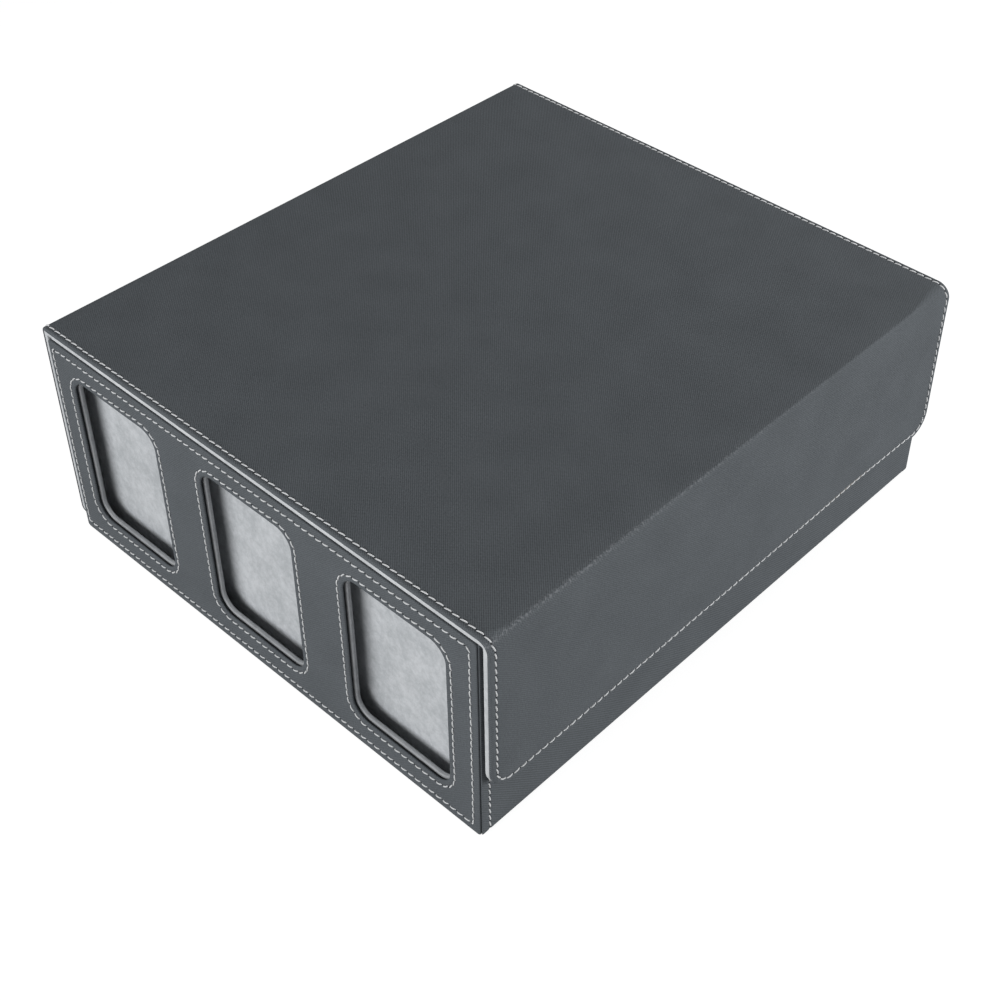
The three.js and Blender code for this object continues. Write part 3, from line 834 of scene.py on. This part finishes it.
def inner_corner(share, radius):
    """The lining's inner face in the fold, which is drawn into a tight corner."""
    inner_x, inner_z = FLAP_FACE - COVER_DEPTH, TOP - COVER_DEPTH
    run = radius - COVER_DEPTH - LINING_CORNER
    arc = LINING_CORNER * pi / 2
    walked = share * (2 * run + arc)
    if walked < run:
        return FLAP_FACE - radius + walked, inner_z
    if walked > run + arc:
        return inner_x, TOP - radius + 2 * run + arc - walked
    turned_by = (walked - run) / LINING_CORNER
    return (inner_x - LINING_CORNER + LINING_CORNER * sin(turned_by),
            inner_z - LINING_CORNER + LINING_CORNER * cos(turned_by))


def fold_point(step, y, h):
    """On the fold between lid and flap, by steps from the lid to the flap."""
    radius, creased = fold_shape(y, h)
    round_turn = step / FOLD_STEPS * pi / 2
    across, drop, crease_turn, _ = crease[step]
    round_x = FLAP_FACE - radius + radius * sin(round_turn)
    x = mix(round_x, FLAP_FACE - CREASE_WIDTH + across, creased)
    z = mix(TOP - radius + radius * cos(round_turn), TOP + drop, creased)
    turned = mix(round_turn, crease_turn, creased)
    inward = max(h, -LID_LIP)
    x, z = x + inward * sin(turned), z + inward * cos(turned)
    if h < -LID_LIP:
        inner_x, inner_z = inner_corner(step / FOLD_STEPS, radius)
        share = (-LID_LIP - h) / (COVER_DEPTH - LID_LIP)
        x, z = mix(x, inner_x, share), mix(z, inner_z, share)
    return Vector((x, y, z))


def hanging(z, y, h):
    """On the flap at a height. Its bottom edge bows in a little between its corners."""
    drop = max(0.0, (BOW_TOP - z) / (BOW_TOP - FLAP_BOTTOM))
    bow = 0.0
    for (from_y, first), (to_y, last) in zip(FLAP_BOW, FLAP_BOW[1:]):
        if from_y <= y < to_y:
            bow = mix(first, last, (1 - cos(pi * (y - from_y) / (to_y - from_y))) / 2)
    return Vector((FLAP_FACE + bow * drop ** 1.4 + h, y, z))


def flap_point(share, y, h):
    """On the flap: share goes from the fold down to the level of the bottom corners' centres."""
    return hanging(mix(flap_top(y, h), FLAP_BOTTOM + COVER_CORNER, share), y, h)


cover_rows = [(lid_point, i / LID_STATIONS) for i in range(LID_STATIONS)]
cover_rows += [(fold_point, i) for i in range(FOLD_STEPS)]
cover_rows += [(flap_point, i / FLAP_STATIONS) for i in range(FLAP_STATIONS + 1)]


def cover_developed(row, y):
    """How far a row is from the start of the lid, along the leather."""
    kind, value = row
    radius, creased = fold_shape(y, 0)
    lid_run = lid_end(y, 0) - LID_START
    if kind is lid_point:
        return value * lid_run
    if kind is fold_point:
        return lid_run + mix(radius * value / FOLD_STEPS * pi / 2, crease[value][3], creased)
    fold_run = mix(radius * pi / 2, crease[-1][3], creased)
    return lid_run + fold_run + value * (flap_top(y, 0) - FLAP_BOTTOM - COVER_CORNER)


def cover_lip(row):
    """How deep the leather is turned in: over the lid's board, and less on the flap."""
    kind, value = row
    return {lid_point: LID_LIP, flap_point: FLAP_LIP}.get(
        kind, mix(LID_LIP, FLAP_LIP, value / FOLD_STEPS if kind is fold_point else 0))


def stitch_inset(row):
    """How far in from the edge a row is sewn: on the lid a little less than on the flap and back."""
    kind, value = row
    return mix(LID_INSET, STITCH_INSET, min((TOP - kind(value, NEAR_EDGE, 0.0).z) / 8, 1))


near_centre = NEAR_EDGE + COVER_CORNER
far_centre = FAR_EDGE - COVER_CORNER
near_steps = [near_centre + d for d in (0, 5, 11, 18, 26)]
far_steps = [far_centre - d for d in (26, 18, 11, 5, 0)]
between = [mix(near_steps[-1], far_steps[0], i / 12) for i in range(1, 12)]
cover_stations = near_steps + between + far_steps


def cover_path(rows, hang, bottom, h):
    """The row of thread round a part of the cover: along the near edge, round the bottom and back."""
    places = []

    def add(kind, value, y):
        place = kind(value, y, h)
        step = kind(value, y, h + 0.2) if h > -1 else kind(value, y, h - 0.2)
        places.append((place, (step - place).normalized()))

    radius, centre_z = COVER_CORNER - STITCH_INSET, bottom + COVER_CORNER
    for kind, value in rows:
        add(kind, value, NEAR_EDGE + stitch_inset((kind, value)))
    for angle in CORNER_SWING[1:]:
        add(hang, centre_z - radius * sin(angle), near_centre - radius * cos(angle))
    for i in range(1, 20):
        add(hang, bottom + STITCH_INSET, mix(near_centre, far_centre, i / 20))
    for angle in reversed(CORNER_SWING[1:]):
        add(hang, centre_z - radius * sin(angle), far_centre + radius * cos(angle))
    for kind, value in reversed(rows):
        add(kind, value, FAR_EDGE - stitch_inset((kind, value)))
    return places


def cover_sheet(name, rows, hang, bottom, developed, section, material):
    """A sheet of the cover that ends in two rounded corners: its straight edges, its corners and its
    bottom edge all have the section given for the row."""
    builder = new_mesh()
    whole = path_lengths(cover_path(rows, hang, bottom, 0.0))[-1]
    stitches = stitch_count(whole) / whole
    near_run = developed(rows[-1], NEAR_EDGE)
    far_run = developed(rows[-1], FAR_EDGE)
    turn = COVER_CORNER - STITCH_INSET

    def rows_patch(columns, row_of_thread):
        points, cloth, sewn = [], [], []
        for row in rows:
            line = columns(row)
            points.append([row[0](row[1], y, h) for y, h in line])
            cloth.append([(developed(row, y), y + h) for y, h in line])
            sewn.append([row_of_thread(developed(row, y), y, stitch_inset(row)) for y, h in line])
        add_patch(builder, points, cloth, sewn)

    rows_patch(lambda row: [(NEAR_EDGE + d, h) for d, h in section(row)],
               lambda a, y, inset: (a * stitches, y - NEAR_EDGE - inset))
    rows_patch(lambda row: [(FAR_EDGE - d, h) for d, h in section(row)],
               lambda a, y, inset: ((whole - a) * stitches, FAR_EDGE - y - inset))
    for k in (0, -1):
        rows_patch(lambda row: [(y, section(row)[k][1]) for y in cover_stations],
                   lambda a, y, inset: NO_THREAD)

    edge = section(rows[-1])

    def hung_patch(stations):
        """Along the corners or the bottom edge, by (y, share down, share across, run of thread)."""
        points, cloth, sewn = [], [], []
        for y, down, out, along in stations:
            points.append([hang(bottom + COVER_CORNER - (COVER_CORNER - d) * down,
                                y + (COVER_CORNER - d) * out, h) for d, h in edge])
            cloth.append([(near_run + (COVER_CORNER - d - h) * down,
                           y + (COVER_CORNER - d - h) * out) for d, h in edge])
            sewn.append([(along * stitches, d - STITCH_INSET) for d, h in edge])
        add_patch(builder, points, cloth, sewn)

    swing = [(angle, sin(angle), cos(angle)) for angle in CORNER_SWING]
    hung_patch([(near_centre, down, -out, near_run + turn * angle) for angle, down, out in swing])
    hung_patch([(far_centre, down, out, whole - far_run - turn * angle) for angle, down, out in swing])
    bottom_run = near_run + turn * pi / 2 - near_centre
    hung_patch([(y, 1, 0, bottom_run + y) for y in cover_stations])
    close_ends(builder)
    return finish_mesh(builder, name, material)


# The cover's leather carries the painted highlight along its crease.
painted_crease_leather = leather_cloth("leather cloth with painted crease highlight", FLAP_FACE - CREASE_WIDTH - LID_START + 0.6)
cover_leather = cover_sheet(
    "cover_leather", cover_rows, hanging, FLAP_BOTTOM, cover_developed,
    lambda row: edge_profile(cover_lip(row), stitch_inset(row), COVER_CORNER), painted_crease_leather)
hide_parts("lid_leather", "front_fold", "flap_leather")
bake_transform(cover_leather)
cover_stitching = sew("cover_stitching", [cover_path(cover_rows, hanging, FLAP_BOTTOM, 0.0)], thread)
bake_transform(cover_stitching)

# Lining of the cover: thicker suede glued under the boards and out to the edge, where its cut edge shows
# as a light band; this suede is a lighter copy of the lining suede, painted light for that band. Inside
# the fold it is drawn into a sharp corner.
LIT_CUT_SUEDE = (0.42, 0.435, 0.45)
LIT_CUT_SUEDE_BRUSHED = (0.54, 0.555, 0.57)
LINING_ROUNDING = 0.4
lit_cover_suede = suede_cloth("suede inside the cover with painted light", LIT_CUT_SUEDE, LIT_CUT_SUEDE_BRUSHED)


def lining_profile(lip):
    """Section of the lining's edge, from the side glued to the boards to its face."""
    r, top, bottom = LINING_ROUNDING, -lip - 0.02, -COVER_DEPTH
    steps = [(COVER_CORNER, -BOARD_FACE), (STITCH_INSET, -BOARD_FACE), (0.95, -BOARD_FACE), (0.78, top),
             (0.3, top), (0.05, top - 0.06), (0.0, top - 0.2)]
    steps += [(0.0, bottom + r + 0.2)]
    for i in range(1, 5):
        angle = i * pi / 8
        steps.append((r * (1 - cos(angle)), bottom + r - r * sin(angle)))
    steps += [(1.6, bottom), (2.2, bottom + 0.05), (STITCH_INSET, bottom + 0.22), (3.3, bottom + 0.05),
              (4.2, bottom), (COVER_CORNER, bottom)]
    return steps


cover_lining = cover_sheet(
    "cover_lining", cover_rows, hanging, FLAP_BOTTOM, cover_developed,
    lambda row: lining_profile(cover_lip(row)), lit_cover_suede)
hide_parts("lid_lining", "front_fold_lining", "flap_lining")
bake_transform(cover_lining)
inside_stitching = sew(
    "inside_stitching", [cover_path(cover_rows, hanging, FLAP_BOTTOM, -COVER_DEPTH)], thread)
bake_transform(inside_stitching)

# Boards inside the cover, and the three disc magnets let into the flap's board, nickel plated.
NICKEL = (0.68, 0.67, 0.65)
finish_node("lid_board", board, 0.15)
finish_node("flap_board", board, 0.15)
nickel = plated_metal("nickel plated magnet", NICKEL, 0.18)
for number in (1, 2, 3):
    finish_node(f"flap_magnet_{number}", nickel, 0.15)


# Back of the cover: the same leather goes on over the narrow fold at the hinge and down the back,
# where it is glued to the back wall. It has the same rounded corners and row of thread.
BACK_SLACK = 0.6
BACK_FACE = node_box("back_cover")[0].x - BACK_SLACK
HINGE_RADIUS = TOP - node_box("back_fold")[0].z
HINGE_X = BACK_FACE + HINGE_RADIUS
HINGE_Z = TOP - HINGE_RADIUS
BACK_LIP = 0.85
HINGE_STEPS = 8


def seam_point(x, y, h):
    """On the lid, behind the seam with the cover's main sheet."""
    return Vector((x, y, TOP + h))


def hinge_point(step, y, h):
    """On the narrow fold, by steps from the lid to the back."""
    angle, reach = step / HINGE_STEPS * pi / 2, HINGE_RADIUS + h
    return Vector((HINGE_X - reach * sin(angle), y, HINGE_Z + reach * cos(angle)))


def back_point(z, y, h):
    """On the back."""
    return Vector((BACK_FACE - h, y, z))


def back_developed(row, y):
    """How far a row is from the seam on the lid, along the leather."""
    kind, value = row
    if kind is seam_point:
        return LID_START - value
    if kind is hinge_point:
        return LID_START - HINGE_X + HINGE_RADIUS * value / HINGE_STEPS * pi / 2
    return LID_START - HINGE_X + HINGE_RADIUS * pi / 2 + HINGE_Z - value


def back_lip(row):
    """How deep the leather is turned in: over the lid's board, and thin on the back."""
    kind, value = row
    share = {seam_point: 0, back_point: HINGE_STEPS}.get(kind, value)
    return mix(LID_LIP, BACK_LIP, share / HINGE_STEPS)


back_rows = [(seam_point, x) for x in (LID_START, LID_START - 1.2, LID_START - 2.4, HINGE_X)]
back_rows += [(hinge_point, i) for i in range(1, HINGE_STEPS)]
back_rows += [(back_point, z) for z in (HINGE_Z, 107.8, 104, 90, 75, 60, 45, 30, 20, COVER_CORNER)]
back_leather = cover_sheet(
    "back_leather", back_rows, back_point, 0.0, back_developed,
    lambda row: edge_profile(back_lip(row), stitch_inset(row), COVER_CORNER, radius=0.8), leather)
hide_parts("back_cover", "back_fold")
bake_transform(back_leather)
back_stitching = sew("back_stitching", [cover_path(back_rows, back_point, 0.0, 0.0)], thread)
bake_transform(back_stitching)

# Lining of the back: the cover's suede goes round the hinge too, and down between the leather and the
# wall, where its cut edge shows at the window end.
BACK_LINING_FACE = node_box("back_cover_lining")[1].x
INNER_RADIUS = 0.5
INNER_X = BACK_LINING_FACE + INNER_RADIUS
INNER_Z = TOP - COVER_DEPTH - INNER_RADIUS
CORNER_FROM = 104


def seam_lining(x, y, s):
    """Under the lid, between the board and the lining's face as s goes from 0 to 1."""
    inner_x = LID_START + (x - LID_START) * (INNER_X - LID_START) / (HINGE_X - LID_START)
    return Vector((mix(x, inner_x, s), y, TOP - mix(LID_LIP, COVER_DEPTH, s)))


def hinge_lining(step, y, s):
    """In the hinge: against the leather outside, and drawn into a tight corner inside."""
    angle = step / HINGE_STEPS * pi / 2
    reach = HINGE_RADIUS - mix(LID_LIP, BACK_LIP, step / HINGE_STEPS)
    outer_x, outer_z = HINGE_X - reach * sin(angle), HINGE_Z + reach * cos(angle)
    inner_x = INNER_X - INNER_RADIUS * sin(angle)
    inner_z = INNER_Z + INNER_RADIUS * cos(angle)
    return Vector((mix(outer_x, inner_x, s), y, mix(outer_z, inner_z, s)))


def back_lining_point(z, y, s):
    """On the back, between the leather and the wall."""
    inner_z = z
    if z >= CORNER_FROM:
        inner_z += (z - CORNER_FROM) * (INNER_Z - HINGE_Z) / (HINGE_Z - CORNER_FROM)
    return Vector((mix(BACK_FACE + BACK_LIP, BACK_LINING_FACE, s), y, mix(z, inner_z, s)))


lining_kinds = {seam_point: seam_lining, hinge_point: hinge_lining, back_point: back_lining_point}
lining_rows = [(lining_kinds[kind], value) for kind, value in back_rows]
edge_steps = [(COVER_CORNER, 0.0), (STITCH_INSET, 0.0), (0.55, 0.0), (0.34, 0.05), (0.3, 0.15),
              (0.3, 0.8), (0.36, 0.92), (0.55, 1.0), (STITCH_INSET, 1.0), (COVER_CORNER, 1.0)]
# The same lighter suede, painted light, lines the back.
back_lining = cover_sheet(
    "back_lining", lining_rows, back_lining_point, 0.0,
    lambda row, y: back_developed(back_rows[lining_rows.index(row)], y),
    lambda row: edge_steps, lit_cover_suede)
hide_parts("back_cover_lining")
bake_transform(back_lining)


# Studio: a white table that takes the box's soft shadow, a faint pale dome, two broad soft lamps a
# little above the box, one in front of the window end and one in front of the flap, and a weak lamp
# over the far end.
TABLE_HALF = 3.0
TABLE_GREY = 0.25
TABLE_GLOW = 0.87
DOME_LIGHT = 0.2
corners = [(x * TABLE_HALF, y * TABLE_HALF, 0) for x, y in ((-1, -1), (1, -1), (1, 1), (-1, 1))]
mesh = bpy.data.meshes.new("floor")
mesh.from_pydata(corners, [], [(0, 1, 2, 3)])
floor = add_object("floor", mesh)
floor.location.z = -0.0001


def seen_directly(tree):
    """1 for rays from the camera, off gloss or through glass, and 0 for light on its way."""
    path = add_node(tree, "LightPath")
    camera_ray, glossy_ray, glass_ray = (
        path.outputs[f"Is {kind} Ray"] for kind in ("Camera", "Glossy", "Transmission"))
    return calculate(tree, "MAXIMUM", calculate(tree, "MAXIMUM", camera_ray, glossy_ray), glass_ray)


material, tree, shader = new_material("white table")
shader.inputs["Base Color"].default_value = (TABLE_GREY, TABLE_GREY, TABLE_GREY, 1)
shader.inputs["Roughness"].default_value = 0.9
shader.inputs["Specular IOR Level"].default_value = 0
shader.inputs["Emission Color"].default_value = (1, 1, 1, 1)
glow = calculate(tree, "MULTIPLY", seen_directly(tree), TABLE_GLOW)
tree.links.new(glow, shader.inputs["Emission Strength"])
floor.data.materials.append(material)

world = bpy.data.worlds.new("studio")
bpy.context.scene.world = world
world.use_nodes = True
tree = world.node_tree
strength = calculate(tree, "MULTIPLY_ADD", seen_directly(tree), 1 - DOME_LIGHT, DOME_LIGHT)
background = tree.nodes["Background"]
background.inputs["Color"].default_value = (1, 1, 1, 1)
tree.links.new(strength, background.inputs["Strength"])


def soft_lamp(name, place, aim, width, height, power):
    """A broad flat lamp at a place in mm, turned towards another place."""
    lamp = bpy.data.lights.new(name, "AREA")
    lamp.shape = "RECTANGLE"
    lamp.size, lamp.size_y = width * MM, height * MM
    lamp.energy = power
    placed = add_object(name, lamp)
    placed.location = Vector(place) * MM
    placed.rotation_mode = "QUATERNION"
    placed.rotation_quaternion = (Vector(place) - Vector(aim)).to_track_quat("Z", "Y")


soft_lamp("window side lamp", (-40, -1350, 560), (0, -145, 55), 1500, 700, 21.0)
soft_lamp("flap side lamp", (1250, 500, 300), (130, 0, 60), 700, 500, 15.0)
soft_lamp("far end lamp", (50, 520, 380), (0, 60, 112), 400, 300, 1.2)

bpy.context.scene.view_settings.view_transform = "Standard"
